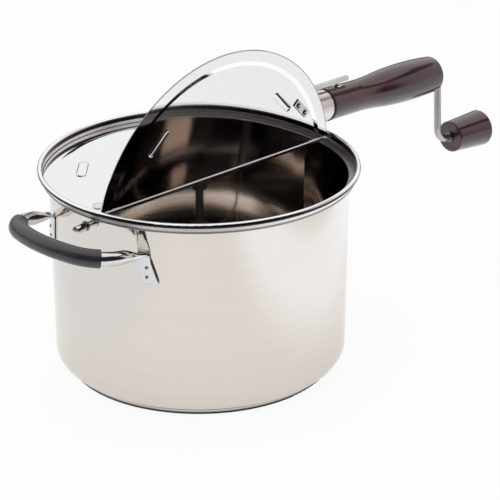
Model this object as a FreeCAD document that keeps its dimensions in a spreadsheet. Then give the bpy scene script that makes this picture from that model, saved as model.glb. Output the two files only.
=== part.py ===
import FreeCAD, Part
import math
import os
import re

import Sketcher

os.makedirs("parts", exist_ok=True)
doc = FreeCAD.newDocument("PopcornMaker")
sheet = doc.addObject("Spreadsheet::Sheet", "Sheet")

# Driving sizes in millimetres and degrees. A value that starts with "=" follows the others.
SIZES = {
    # fits shared by many pieces
    "press_gap": "0.02",
    "run_gap": "0.05",
    "slip_gap": "0.05",
    "seat_gap": "0.05",
    "washer_gap": "0.2",
    # pot and base
    "lip_radius": "124",
    "lip_top": "163.5",
    "bead_radius": "2",
    "wall_thick": "0.8",
    "ledge_width": "4.8",
    "ledge_drop": "8.1",
    "collar_round": "0.6",
    "ledge_round": "0.25",
    "recess_round": "0.6",
    "ledge_ease": "0.7",
    "wall_taper": "1.6",
    "corner_radius": "12.5",
    "base_inset": "10",
    "base_height": "4.2",
    "base_reveal": "0.5",
    "cap_thick": "1.2",
    "core_gap": "0.1",
    "recess_radius": "=lip_radius - 2 * bead_radius",
    "collar_outer": "=recess_radius + wall_thick",
    "wall_top": "=recess_radius - ledge_width",
    "wall_low": "=wall_top - wall_taper",
    "base_radius": "=wall_low - base_inset",
    "cap_height": "=base_height - base_reveal",
    "ledge_top": "=lip_top - ledge_drop",
    "ledge_low": "=ledge_top - wall_thick",
    "wall_start": "=base_height + corner_radius",
    "floor_top": "=base_height + wall_thick",
    # loop handle on the far side
    "tube_radius": "5.3",
    "grip_wall": "1.6",
    "loop_angle": "28",
    "loop_sunk": "13.2",
    "loop_drop": "29.3",
    "loop_tilt": "7.9",
    "loop_reach": "54.1",
    "loop_half": "51.3",
    "loop_corner": "29.7",
    "loop_bow": "110",
    "loop_inside": "8",
    "grip_turn": "34",
    "loop_seat": "=wall_top - loop_sunk",
    "loop_height": "=lip_top - loop_drop",
    "bow_centre": "=loop_reach - loop_bow",
    "corner_side": "=loop_half - loop_corner",
    "corner_out": "=bow_centre + sqrt((loop_bow - loop_corner)^2 - corner_side^2)",
    "bow_out": "=bow_centre + loop_bow * (corner_out - bow_centre) / (loop_bow - loop_corner)",
    "bow_side": "=loop_bow * corner_side / (loop_bow - loop_corner)",
    "grip_out": "=corner_out + loop_corner * sin(grip_turn * 1 deg)",
    "grip_side": "=corner_side + loop_corner * cos(grip_turn * 1 deg)",
    "flange_thick": "2",
    "flange_angle": "8",
    "flange_rise": "4",
    "flange_drop": "23",
    "flange_top": "=loop_height + flange_rise",
    "flange_low": "=loop_height - flange_drop",
    "stud_radius": "1.2",
    "stud_rise": "0.6",
    "stud_drop": "10",
    "stud_pitch": "7.5",
    # lid
    "lid_gap": "0.7",
    "lid_thick": "0.7",
    "emboss_inset": "12.4",
    "emboss_step": "3.6",
    "emboss_rise": "0.45",
    "lid_radius": "=recess_radius - lid_gap",
    "emboss_in": "=lid_radius - emboss_inset",
    "emboss_out": "=emboss_in + emboss_step",
    "lid_low": "=ledge_top + seat_gap",
    "lid_top": "=lid_low + emboss_rise + lid_thick",
    "vent_inset": "29.6",
    "vent_circle": "=lid_radius - vent_inset",
    "vent_half": "11.7",
    "vent_wide": "3.5",
    "vent_end": "4.2",
    "vent_rise": "1.1",
    "vent_skin": "0.6",
    "diagonal": "=sqrt(0.5)",
    # hinge of the flap
    "hinge_back": "18.5",
    "leaf_thick": "0.8",
    "leaf_lift": "1.15",
    "leaf_depth": "9",
    "leaf_inset": "14",
    "leaf_root": "1.9",
    "leaf_join": "0.2",
    "barrel_radius": "2.6",
    "rod_radius": "1.5",
    "rod_proud": "1.5",
    "barrel_inset": "7.3",
    "knuckle_inset": "50.5",
    "knuckle_wide": "15",
    "knuckle_leaf": "6",
    "end_play": "0.5",
    "chord_gap": "3",
    "barrel_half": "=lid_radius - barrel_inset",
    "leaf_half": "=barrel_half - leaf_inset",
    "knuckle_far": "=barrel_half - knuckle_inset",
    "knuckle_near": "=knuckle_far - knuckle_wide",
    "hinge_height": "=lid_top + leaf_thick + leaf_lift",
    "open_angle": "84",
    # bridge, ferrule and wooden handle
    "handle_rise": "24",
    "handle_tilt": "1.9",
    "bridge_near": "22",
    "bridge_inset": "17.3",
    "bridge_sheet": "1.5",
    "bridge_wide": "20",
    "bridge_over": "7.4",
    "bearing_gap": "0.15",
    "rivet_near_inset": "16",
    "rivet_far_inset": "12",
    "ferrule_radius": "12.8",
    "ferrule_wall": "1.2",
    "ferrule_round": "1.5",
    "ferrule_length": "31.65",
    "tenon_gap": "0.1",
    "tenon_length": "29",
    "core_radius": "5",
    "core_bore": "3.6",
    "core_proud": "4",
    "core_short": "1",
    "wood_start": "13.4",
    "neck_length": "36.8",
    "neck_radius": "12.9",
    "neck_curve": "209",
    "flank_length": "61.8",
    "flank_radius": "14.6",
    "crown_curve": "325",
    "wood_length": "125.2",
    "wood_shoulder": "15",
    "wood_nose": "11.5",
    "nose_round": "3.5",
    "screw_inset": "15.2",
    "screw_radius": "3.2",
    "screw_round": "1.5",
    "screw_top": "15.4",
    "screw_seat": "12.4",
    "screw_shank": "2",
    "screw_length": "7",
    "screw_clear": "3",
    "handle_height": "=lid_top + handle_rise",
    "bridge_far": "=lid_radius - bridge_inset",
    "bridge_top": "=handle_height + bridge_over",
    "ferrule_near": "=bridge_far + bridge_sheet + seat_gap",
    "ferrule_far": "=ferrule_near + ferrule_length",
    "tenon_near": "=ferrule_far - tenon_length",
    "screw_place": "=ferrule_far + screw_inset",
    "neck_place": "=ferrule_far + neck_length",
    "flank_place": "=ferrule_far + flank_length",
    "wood_near_end": "=ferrule_far + wood_length",
    "wood_end": "=wood_near_end + nose_round",
    # thumb lever
    "lever_inset": "16.85",
    "lever_clear": "7.25",
    "lever_out": "25.8",
    "lever_rise": "20.9",
    "lever_deep": "3.4",
    "lever_wide": "3",
    "lever_sheet": "1.5",
    "strip_length": "22",
    "strip_wide": "9",
    "strip_over": "3.15",
    "backing_length": "18.5",
    "backing_wide": "6.4",
    "backing_thick": "1",
    "web_inset": "7.15",
    "web_over": "5.2",
    "lever_pitch": "10.8",
    "lever_reach": "=handle_rise + lever_clear",
    "lever_middle": "=bridge_far - lever_inset",
    "lever_web": "=lever_middle + web_inset",
    "lever_end": "=ferrule_far + lever_out",
    "strip_back": "=lever_reach + strip_over",
    # crank and knob
    "shaft_radius": "3",
    "shaft_start": "9",
    "crank_clear": "7",
    "crank_bend": "4.5",
    "crank_curve": "11",
    "crank_swing": "4",
    "crank_throw": "60",
    "collar_gap": "0.1",
    "knob_stand": "15.6",
    "knob_length": "38.5",
    "knob_small": "13.2",
    "knob_large": "15.4",
    "knob_round": "1.2",
    "washer_radius": "4.2",
    "rod_tail": "0.4",
    "cap_radius": "5.5",
    "clip_thick": "1.2",
    "clip_radius": "5.5",
    "flange_bush": "1.2",
    "flange_over": "1",
    "bush_tail": "3",
    "bush_deep": "12",
    "crank_out": "=wood_end + crank_clear",
    "knob_near": "=crank_out + knob_stand",
    "knob_far": "=knob_near + knob_length",
    # gears and stirrer
    "gear_pitch": "15",
    "gear_inner": "10.5",
    "gear_root": "1.3",
    "gear_tip": "0.8",
    "gear_back": "18",
    "tooth_thick": "2.2",
    "tooth_sink": "0.3",
    "tooth_count": "12",
    "gear_face": "=gear_inner + gear_root - washer_gap",
    "bush_radius": "8",
    "bush_neck": "5",
    "bush_depth": "7.45",
    "bush_low": "=lid_low - bush_depth",
    "collar_radius": "6.5",
    "collar_high": "5",
    "hub_radius": "8",
    "hub_round": "1.5",
    "hub_clear": "1.6",
    "hub_high": "13.4",
    "hub_floor": "3.4",
    "wire_radius": "2",
    "wire_inset": "17",
    "wire_bend": "6",
    "wire_rise": "14",
    "hub_low": "=floor_top + hub_clear",
    "hub_top": "=hub_low + hub_high",
    "stirrer_foot": "=hub_low + hub_floor",
    "wire_height": "=hub_low + hub_floor",
    "wire_reach": "=wall_low - wire_inset",
    # lid lock at the far end
    "lock_drop": "4.6",
    "lock_swing": "5.3",
    "lock_radius": "2.5",
    "lock_sunk": "6.2",
    "lock_straight": "9.8",
    "lock_bend": "14",
    "lock_tilt": "4",
    "lock_tail": "8.6",
    "lock_flange": "3.9",
    "lock_neck": "3.3",
    "lock_flange_thick": "1.7",
    "lock_seat": "0.1",
    "lock_inset": "2",
    "hole_reach": "16",
    "grip_radius": "3.1",
    "grip_start": "0.5",
    "ring_stand": "8.8",
    "ring_wire": "0.7",
    "button_inset": "17",
    "button_side": "2",
    "button_radius": "5",
    "button_edge": "0.6",
    "button_rise": "2.4",
    "button_stem": "2",
    "catch_inset": "12.7",
    "catch_side": "6",
    "catch_wide": "18",
    "catch_deep": "10.6",
    "catch_drop": "6.5",
    "catch_sheet": "1.2",
    "catch_hole": "2.9",
    "lock_height": "=ledge_low - lock_drop",
    "lock_inner": "=wall_top - lock_sunk",
    "lock_bend_at": "=wall_top + lock_straight",
    "ring_place": "=wall_top + ring_stand",
    "button_place": "=lid_radius - button_inset",
    "catch_far": "=lid_radius - catch_inset",
    "catch_near": "=catch_far - catch_deep",
    "catch_low": "=lock_height - catch_drop",
    # rivets
    "rivet_radius": "2.8",
    "rivet_rise": "1.4",
    "rivet_shank": "1.5",
    "rivet_slip": "0.05",
}

for row, (alias, text) in enumerate(SIZES.items(), start=1):
    sheet.set(f"A{row}", alias)
    sheet.set(f"B{row}", text)
    sheet.setAlias(f"B{row}", alias)
doc.recompute()

pieces = []


def ref(text):
    """Expression text with each size written as a cell of the sheet."""
    return re.sub(r"[A-Za-z_]+", lambda word: sheet_name(word.group()), text)


def sheet_name(word):
    return f"Sheet.{word}" if word in SIZES else word


def value(text):
    found = sheet.evalExpression(ref(text))
    return float(getattr(found, "Value", found))


def place(item, x="0", y="0", z="0", axis=(0, 0, 1), angle="0"):
    """Placement that follows the sheet."""
    turn = FreeCAD.Rotation(FreeCAD.Vector(*axis), value(angle))
    item.Placement = FreeCAD.Placement(FreeCAD.Vector(value(x), value(y), value(z)), turn)
    for way, text in zip("xyz", (x, y, z)):
        if text != "0":
            item.setExpression(f"Placement.Base.{way}", ref(text))
    if angle != "0":
        item.setExpression("Placement.Rotation.Angle", ref(f"({angle}) * 1 deg"))
    return item


def new_body(label, keep=True):
    body = doc.addObject("PartDesign::Body", label)
    body.Label = label
    if keep:
        pieces.append(body)
    return body


def new_sketch(body, role, offset="0"):
    """Sketch on one of the body's own planes, moved along the plane's normal."""
    sketch = body.newObject("Sketcher::SketchObject", "Outline")
    plane = [item for item in body.Origin.OriginFeatures if item.Role == role][0]
    sketch.AttachmentSupport = (plane, [""])
    sketch.MapMode = "FlatFace"
    if offset != "0":
        sketch.AttachmentOffset = FreeCAD.Placement(
            FreeCAD.Vector(0, 0, value(offset)), FreeCAD.Rotation()
        )
        sketch.setExpression("AttachmentOffset.Base.z", ref(offset))
    return sketch


def pin_point(sketch, geo, pos, x, y):
    """Holds one sketch point at two sheet distances from the origin."""
    for kind, text, line in (("DistanceX", x, -2), ("DistanceY", y, -1)):
        if text == "0":
            sketch.addConstraint(Sketcher.Constraint("PointOnObject", geo, pos, line))
            continue
        index = sketch.addConstraint(
            Sketcher.Constraint(kind, -1, 1, geo, pos, value(text))
        )
        sketch.setExpression(f"Constraints[{index}]", ref(text))


def pin_radius(sketch, geo, text):
    index = sketch.addConstraint(Sketcher.Constraint("Radius", geo, value(text)))
    sketch.setExpression(f"Constraints[{index}]", ref(text))


def arc_between(start, end, radius, turn):
    """Smaller arc of the given radius, to the left for turn 1 and to the right for -1."""
    chord = end - start
    rise = math.sqrt(max(radius**2 - chord.Length**2 / 4, 0))
    side = FreeCAD.Vector(-chord.y, chord.x, 0).normalize()
    centre = (start + end) / 2 + side * rise * turn
    first, last = (start, end) if turn > 0 else (end, start)
    spread = [math.atan2(p.y - centre.y, p.x - centre.x) for p in (first, last)]
    circle = Part.Circle(centre, FreeCAD.Vector(0, 0, 1), radius)
    return Part.ArcOfCircle(circle, spread[0], spread[1])


def draw(sketch, corners, closed=True):
    """Lines and arcs through corners (x, y) or (x, y, arc radius to the next, turn)."""
    points = [FreeCAD.Vector(value(c[0]), value(c[1]), 0) for c in corners]
    count = len(corners) if closed else len(corners) - 1
    ends = []
    for step in range(count):
        start = points[step]
        end = points[(step + 1) % len(points)]
        if len(corners[step]) == 2:
            geo = sketch.addGeometry(Part.LineSegment(start, end))
            ends.append((geo, 1, 2))
            continue
        radius, turn = corners[step][2:]
        geo = sketch.addGeometry(arc_between(start, end, value(radius), turn))
        ends.append((geo, 1, 2) if turn > 0 else (geo, 2, 1))
    for step in range(count if closed else count - 1):
        here = ends[step]
        after = ends[(step + 1) % count]
        sketch.addConstraint(
            Sketcher.Constraint("Coincident", here[0], here[2], after[0], after[1])
        )
    for step in range(count):
        pin_point(sketch, ends[step][0], ends[step][1], *corners[step][:2])
    if not closed:
        pin_point(sketch, ends[-1][0], ends[-1][2], *corners[-1][:2])
    for step in range(count):
        if len(corners[step]) == 4:
            pin_radius(sketch, ends[step][0], corners[step][2])
    return sketch


def draw_circle(sketch, x, y, radius):
    centre = FreeCAD.Vector(value(x), value(y), 0)
    geo = sketch.addGeometry(
        Part.Circle(centre, FreeCAD.Vector(0, 0, 1), value(radius))
    )
    pin_point(sketch, geo, 3, x, y)
    pin_radius(sketch, geo, radius)
    return sketch


def revolve(body, sketch, axis="V_Axis"):
    turned = body.newObject("PartDesign::Revolution", "Turned")
    turned.Profile = sketch
    turned.ReferenceAxis = (sketch, [axis])
    turned.Angle = 360
    doc.recompute()
    return turned


def pad(body, sketch, length, both=True):
    block = body.newObject("PartDesign::Pad", "Block")
    block.Profile = sketch
    block.SideType = "Symmetric" if both else "One side"
    block.setExpression("Length", ref(length))
    doc.recompute()
    return block


def cut(body, sketch, length):
    """Cut of the given length, half of it to each side of the sketch."""
    hole = body.newObject("PartDesign::Pocket", "Opening")
    hole.Profile = sketch
    hole.SideType = "Symmetric"
    hole.setExpression("Length", ref(length))
    doc.recompute()
    return hole


def sweep(body, path, profile):
    pipe = body.newObject("PartDesign::AdditivePipe", "Swept")
    pipe.Profile = profile
    pipe.Spine = (path, [f"Edge{n + 1}" for n in range(path.GeometryCount)])
    doc.recompute()
    return pipe


def box(name, x, y, z, length, width, height):
    block = doc.addObject("Part::Box", name)
    for side, text in (("Length", length), ("Width", width), ("Height", height)):
        block.setExpression(side, ref(text))
    return place(block, x, y, z)


def rod(name, radius, length, x="0", y="0", z="0", along="z"):
    """Round bar that starts at the given point and runs along +X or +Z."""
    bar = doc.addObject("Part::Cylinder", name)
    bar.setExpression("Radius", ref(radius))
    bar.setExpression("Height", ref(length))
    if along == "x":
        return place(bar, x, y, z, (0, 1, 0), "90")
    return place(bar, x, y, z)


def fuse(name, shapes):
    joined = doc.addObject("Part::MultiFuse", name)
    joined.Shapes = shapes
    doc.recompute()
    return joined


def subtract(name, base, tool):
    left = doc.addObject("Part::Cut", name)
    left.Base = base
    left.Tool = tool
    doc.recompute()
    return left


def keep(item, label):
    item.Label = label
    pieces.append(item)
    return item


def turned_piece(label, corners, axis="V_Axis", role="XZ_Plane"):
    """Body of one closed outline turned about the sketch's own axis."""
    body = new_body(label)
    revolve(body, draw(new_sketch(body, role), corners), axis)
    return body


def ring(label, inner, outer, low, high, axis="V_Axis"):
    """Plain collar between two radii and two stations on its axis."""
    if axis == "V_Axis":
        corners = [(inner, low), (outer, low), (outer, high), (inner, high)]
    else:
        corners = [(low, inner), (high, inner), (high, outer), (low, outer)]
    return turned_piece(label, corners, axis)


# Pot: one drawn sheet with a flat floor, a slightly tapered wall, a ledge for the lid,
# an upright collar and a rolled bead on top.
pot = new_body("pot_shell")
revolve(
    pot,
    draw(
        new_sketch(pot, "XZ_Plane"),
        [
            ("0", "base_height"),
            ("wall_low - corner_radius", "base_height", "corner_radius", 1),
            ("wall_low", "wall_start"),
            ("wall_top", "ledge_low - ledge_round", "ledge_round", -1),
            ("wall_top + ledge_round", "ledge_low"),
            ("collar_outer - collar_round", "ledge_low", "collar_round", 1),
            ("collar_outer", "ledge_low + collar_round"),
            ("collar_outer", "lip_top - bead_radius"),
            ("recess_radius", "lip_top - bead_radius"),
            ("recess_radius", "ledge_top + recess_round", "recess_round", -1),
            ("recess_radius - recess_round", "ledge_top"),
            ("wall_top - wall_thick + ledge_ease", "ledge_top", "ledge_ease", 1),
            ("wall_top - wall_thick", "ledge_top - ledge_ease"),
            ("wall_low - wall_thick", "wall_start", "corner_radius - wall_thick", -1),
            ("wall_low - corner_radius", "base_height + wall_thick"),
            ("0", "base_height + wall_thick"),
        ],
    ),
)
bead = draw_circle(
    new_sketch(pot, "XZ_Plane"),
    "lip_radius - bead_radius",
    "lip_top - bead_radius",
    "bead_radius",
)
revolve(pot, bead)
lock_hole = new_sketch(pot, "YZ_Plane")
lock_hole.AttachmentOffset = FreeCAD.Placement(
    FreeCAD.Vector(),
    FreeCAD.Rotation(FreeCAD.Vector(0, 1, 0), value("lock_swing")),
)
lock_hole.setExpression("AttachmentOffset.Base.x", ref("-wall_top * sin(lock_swing * 1 deg)"))
lock_hole.setExpression("AttachmentOffset.Base.z", ref("-wall_top * cos(lock_swing * 1 deg)"))
cut(pot, draw_circle(lock_hole, "0", "lock_height", "lock_neck + rivet_slip"), "hole_reach")

# Base: an aluminium core that spreads the heat, in a shallow steel cap that stands on the hob.
turned_piece(
    "base_core",
    [
        ("0", "cap_thick"),
        ("base_radius - cap_thick - core_gap", "cap_thick"),
        ("base_radius - cap_thick - core_gap", "base_height"),
        ("0", "base_height"),
    ],
)
turned_piece(
    "base_cap",
    [
        ("0", "0"),
        ("base_radius - cap_thick", "0", "cap_thick", 1),
        ("base_radius", "cap_thick"),
        ("base_radius", "cap_height"),
        ("base_radius - cap_thick", "cap_height"),
        ("base_radius - cap_thick", "cap_thick"),
        ("0", "cap_thick"),
    ],
)

# Loop handle: a bent bar whose ends are cut to the wall and joined to two welded flanges.
loop = new_body("loop_bar", keep=False)
loop_path = draw(
    new_sketch(loop, "XY_Plane"),
    [
        ("-loop_inside", "loop_half"),
        ("corner_out", "loop_half", "loop_corner", -1),
        ("bow_out", "bow_side", "loop_bow", -1),
        ("bow_out", "-bow_side", "loop_corner", -1),
        ("corner_out", "-loop_half"),
        ("-loop_inside", "-loop_half"),
    ],
    closed=False,
)
loop_end = draw_circle(
    new_sketch(loop, "YZ_Plane", "-loop_inside"), "loop_half", "0", "tube_radius"
)
sweep(loop, loop_path, loop_end)


def place_loop(item):
    """Lays a body drawn in the loop's own plane on the far side, rising outwards."""
    half_turn = FreeCAD.Rotation(FreeCAD.Vector(0, 0, 1), 180)
    rise = FreeCAD.Rotation(FreeCAD.Vector(0, 1, 0), value("loop_tilt"))
    base = FreeCAD.Vector(-value("loop_seat"), 0, value("loop_height"))
    item.Placement = FreeCAD.Placement(base, rise.multiply(half_turn))
    item.setExpression("Placement.Base.x", ref("-loop_seat"))
    item.setExpression("Placement.Base.z", ref("loop_height"))
    return item


place_loop(loop)
wall_form = doc.addObject("Part::Cone", "WallForm")
wall_form.setExpression("Radius1", ref("wall_low + slip_gap"))
wall_form.setExpression("Radius2", ref("wall_top + slip_gap"))
wall_form.setExpression("Height", ref("ledge_low - wall_start"))
place(wall_form, z="wall_start")
loop_trimmed = subtract("LoopTrimmed", loop, wall_form)


def wall_at(height):
    """Expression for the wall's outer radius at a height."""
    share = f"({height} - wall_start) / (ledge_low - wall_start)"
    return f"wall_low + (wall_top - wall_low) * {share} + slip_gap"


flanges = []
for name, side in (("NearFlange", "180 + loop_angle"), ("FarFlange", "180 - loop_angle")):
    flange = new_body(name, keep=False)
    flange_outline = draw(
        new_sketch(flange, "XZ_Plane"),
        [
            (wall_at("flange_low"), "flange_low"),
            (wall_at("flange_low") + " + flange_thick", "flange_low"),
            (wall_at("flange_top") + " + flange_thick", "flange_top"),
            (wall_at("flange_top"), "flange_top"),
        ],
    )
    segment = flange.newObject("PartDesign::Revolution", "Segment")
    segment.Profile = flange_outline
    segment.ReferenceAxis = (flange_outline, ["V_Axis"])
    segment.Midplane = True
    segment.setExpression("Angle", ref("flange_angle * 1 deg"))
    place(flange, angle=side)
    flanges.append(flange)
doc.recompute()
keep(fuse("LoopHandle", [loop_trimmed, *flanges]), "loop_handle")

# Rubber sleeve over the middle of the loop.
grip = new_body("loop_grip")
grip_path = draw(
    new_sketch(grip, "XY_Plane"),
    [
        ("grip_out", "grip_side", "loop_corner", -1),
        ("bow_out", "bow_side", "loop_bow", -1),
        ("bow_out", "-bow_side", "loop_corner", -1),
        ("grip_out", "-grip_side"),
    ],
    closed=False,
)
grip_end = new_sketch(grip, "YZ_Plane")
grip_end.AttachmentOffset = FreeCAD.Placement(
    FreeCAD.Vector(value("grip_side"), 0, value("grip_out")),
    FreeCAD.Rotation(FreeCAD.Vector(0, 1, 0), -value("grip_turn")),
)
grip_end.setExpression("AttachmentOffset.Base.x", ref("grip_side"))
grip_end.setExpression("AttachmentOffset.Base.z", ref("grip_out"))
draw_circle(grip_end, "0", "0", "tube_radius + slip_gap")
draw_circle(grip_end, "0", "0", "tube_radius + grip_wall")
sweep(grip, grip_path, grip_end)
place_loop(grip)

# Weld studs that show on the two flanges, one above the other.
for name, sign in (("near", 1), ("far", -1)):
    for number in range(2):
        height = f"loop_height - stud_drop - {number} * stud_pitch"
        face = wall_at(f"({height})") + " + flange_thick"
        stud = turned_piece(
            f"loop_stud_{name}_{number + 1}",
            [
                ("slip_gap", "0"),
                ("stud_rise", "0"),
                ("stud_rise", "stud_radius"),
                ("slip_gap", "stud_radius"),
            ],
            "H_Axis",
        )
        turn = f"(180 + {sign} * loop_angle)"
        place(
            stud,
            f"({face}) * cos({turn} * 1 deg)",
            f"({face}) * sin({turn} * 1 deg)",
            height,
            (0, 0, 1),
            turn,
        )


def vent_outline(sketch, sx, sy, shift, trim):
    """Long slot along the rim at 45 degrees, drawn about the lid's centre."""
    low = f"(vent_circle - vent_wide + {trim})"
    high = f"(vent_circle + vent_wide - {trim})"
    end = f"(vent_half - {trim})"

    def corner(radial, along):
        x = f"diagonal * ({sx} * {radial} - {sy} * {along} * {end})"
        y = f"diagonal * ({sy} * {radial} + {sx} * {along} * {end}) + {shift}"
        return x, y

    return draw(
        sketch,
        [
            (*corner(low, -1), f"vent_end - {trim}", 1),
            corner(high, -1),
            (*corner(high, 1), f"vent_end - {trim}", 1),
            corner(low, 1),
        ],
    )


def hooded_vents(body, base, sides, shift):
    """Hoods pressed up from the sheet, hollow below and cut open on the inner long side."""
    for sx, sy in sides:
        hood = vent_outline(new_sketch(body, "XY_Plane", base), sx, sy, shift, "0")
        pad(body, hood, "lid_thick + vent_rise", both=False)
        hollow = vent_outline(
            new_sketch(body, "XY_Plane", f"{base} + (lid_thick + vent_rise - vent_skin) / 2"),
            sx,
            sy,
            shift,
            "vent_skin",
        )
        cut(body, hollow, "lid_thick + vent_rise - vent_skin + press_gap")
    return body


def lid_outline(sketch, drop):
    """Half section of the lid's sheet, with the pressed ring, about the lid's axis."""
    low = f"lid_low - {drop}"
    return draw(
        sketch,
        [
            ("0", f"{low} + emboss_rise"),
            ("emboss_in", f"{low} + emboss_rise"),
            ("emboss_out", low),
            ("lid_radius", low),
            ("lid_radius", f"{low} + lid_thick"),
            ("emboss_out", f"{low} + lid_thick"),
            ("emboss_in", f"{low} + emboss_rise + lid_thick"),
            ("0", f"{low} + emboss_rise + lid_thick"),
        ],
    )


# Fixed part of the lid, from behind the hinge to the back of the pot.
lid = new_body("lid_plate")
revolve(lid, lid_outline(new_sketch(lid, "XZ_Plane"), "0"))
front = draw(
    new_sketch(lid, "XY_Plane"),
    [
        ("-lip_radius", "-lip_radius"),
        ("lip_radius", "-lip_radius"),
        ("lip_radius", "chord_gap - hinge_back"),
        ("-lip_radius", "chord_gap - hinge_back"),
    ],
)
cut(lid, front, "3 * lip_top")
hooded_vents(lid, "lid_low + emboss_rise", ((-1, 1), (1, 1)), "0")
lid_holes = new_sketch(lid, "XY_Plane")
draw_circle(lid_holes, "0", "0", "bush_neck + rivet_slip")
draw_circle(lid_holes, "-button_place", "-button_side", "button_stem + rivet_slip")
RIVET_PLACES = [("bridge_near + rivet_near_inset", "0"), ("bridge_far - rivet_far_inset", "0")]
for x, y in RIVET_PLACES:
    draw_circle(lid_holes, x, y, "rivet_shank + rivet_slip")
cut(lid, lid_holes, "3 * lip_top")

# Two knuckles of the fixed lid, each rolled from its own small leaf.
for name, near in (("left", "-knuckle_far"), ("right", "knuckle_near")):
    on_axis = (near, "-hinge_back", "hinge_height", "x")
    leaf = box(
        f"Leaf_{name}",
        near,
        "leaf_root - hinge_back",
        "hinge_height - leaf_lift - leaf_thick",
        "knuckle_wide",
        "knuckle_leaf",
        "leaf_thick",
    )
    barrel = rod(f"Barrel_{name}", "barrel_radius", "knuckle_wide", *on_axis)
    bore = rod(f"Bore_{name}", "rod_radius + press_gap", "knuckle_wide", *on_axis)
    solid = fuse(f"Knuckle_{name}", [leaf, barrel])
    keep(subtract(f"LidKnuckle_{name}", solid, bore), f"lid_knuckle_{name}")
keep(
    rod(
        "HingeRod",
        "rod_radius",
        "2 * (barrel_half + rod_proud)",
        "-barrel_half - rod_proud",
        "-hinge_back",
        "hinge_height",
        "x",
    ),
    "hinge_rod",
)


def on_flap(item):
    """Turns a piece drawn about the hinge axis, with the flap shut, to the open stop."""
    return place(item, "0", "-hinge_back", "hinge_height", (1, 0, 0), "-open_angle")


# Flap: the smaller segment of the lid, drawn shut about its hinge and stored open.
flap = new_body("flap_plate")
revolve(flap, lid_outline(new_sketch(flap, "XZ_Plane", "-hinge_back"), "hinge_height"))
rear = draw(
    new_sketch(flap, "XY_Plane"),
    [
        ("-lip_radius", "-chord_gap"),
        ("lip_radius", "-chord_gap"),
        ("lip_radius", "2 * lip_radius"),
        ("-lip_radius", "2 * lip_radius"),
    ],
)
cut(flap, rear, "lip_top")
hooded_vents(
    flap, "lid_low + emboss_rise - hinge_height", ((-1, -1), (1, -1)), "hinge_back"
)
flap_holes = new_sketch(flap, "XY_Plane")
LEVER_RIVETS = [
    (
        f"lever_middle + {sign} * diagonal * lever_pitch / 2",
        f"{sign} * diagonal * lever_pitch / 2 - strip_back",
    )
    for sign in (-1, 1)
]
for x, y in LEVER_RIVETS:
    draw_circle(flap_holes, x, y, "rivet_shank + rivet_slip")
cut(flap, flap_holes, "lip_top")
on_flap(flap)

# Rolled hinge leaf along the flap's straight edge, with three barrels round the rod.
flap_top = "-leaf_lift - leaf_thick"
leaf_parts = [
    box(
        "FlapLeaf",
        "-leaf_half",
        "-leaf_depth",
        flap_top,
        "2 * leaf_half",
        "leaf_depth - chord_gap",
        "leaf_thick",
    )
]
SIDE_WIDTH = "barrel_half - knuckle_far - end_play"
SIDE_TIE = "leaf_half - knuckle_far - end_play"
MIDDLE_WIDTH = "2 * (knuckle_near - end_play)"
BARRELS = (
    ("left", "-barrel_half", SIDE_WIDTH, "-leaf_half", SIDE_TIE),
    ("middle", "end_play - knuckle_near", MIDDLE_WIDTH, "end_play - knuckle_near", MIDDLE_WIDTH),
    ("right", "knuckle_far + end_play", SIDE_WIDTH, "knuckle_far + end_play", SIDE_TIE),
)
for name, near, width, tie, tie_width in BARRELS:
    leaf_parts.append(
        box(
            f"Tie_{name}",
            tie,
            "-chord_gap - leaf_join",
            flap_top,
            tie_width,
            "chord_gap + leaf_join - leaf_root",
            "leaf_thick",
        )
    )
    leaf_parts.append(rod(f"FlapBarrel_{name}", "barrel_radius", width, near, along="x"))
flap_bore = rod(
    "FlapBore",
    "rod_radius + run_gap",
    "2 * (barrel_half + rod_proud)",
    "-barrel_half - rod_proud",
    along="x",
)
flap_leaf = subtract("FlapHinge", fuse("FlapHingeSolid", leaf_parts), flap_bore)
on_flap(keep(flap_leaf, "flap_hinge"))


def slanted_strip(sketch, length, width):
    """Strip at 45 degrees over the two lever rivets, drawn about the hinge axis."""

    def corner(along, across):
        reach = f"{along} * ({length})"
        side = f"{across} * ({width})"
        x = f"lever_middle + diagonal * ({reach} + {side}) / 2"
        y = f"diagonal * ({reach} - {side}) / 2 - strip_back"
        return x, y

    return draw(sketch, [corner(-1, 1), corner(1, 1), corner(1, -1), corner(-1, -1)])


# Thumb lever: a strip riveted to the flap, bent up, with an arm that reaches out over the handle.
lever = new_body("thumb_lever")
foot = slanted_strip(new_sketch(lever, "XY_Plane", flap_top), "strip_length", "strip_wide")
pad(lever, foot, "lever_sheet", both=False)
web = draw(
    new_sketch(lever, "YZ_Plane", "lever_web"),
    [
        ("-lever_reach - lever_deep", flap_top),
        ("web_over - lever_reach", flap_top),
        ("-lever_reach", "lever_rise + lever_wide / 2"),
        ("-lever_reach - lever_deep", "lever_rise + lever_wide / 2"),
    ],
)
pad(lever, web, "lever_sheet", both=False)
arm = draw(
    new_sketch(lever, "YZ_Plane", "lever_web"),
    [
        ("-lever_reach - lever_deep", "lever_rise - lever_wide / 2"),
        ("-lever_reach", "lever_rise - lever_wide / 2"),
        ("-lever_reach", "lever_rise + lever_wide / 2"),
        ("-lever_reach - lever_deep", "lever_rise + lever_wide / 2"),
    ],
)
pad(lever, arm, "lever_end - lever_web", both=False)
lever_holes = new_sketch(lever, "XY_Plane", flap_top)
for x, y in LEVER_RIVETS:
    draw_circle(lever_holes, x, y, "rivet_shank + rivet_slip")
cut(lever, lever_holes, "4 * lever_sheet")
on_flap(lever)

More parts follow.
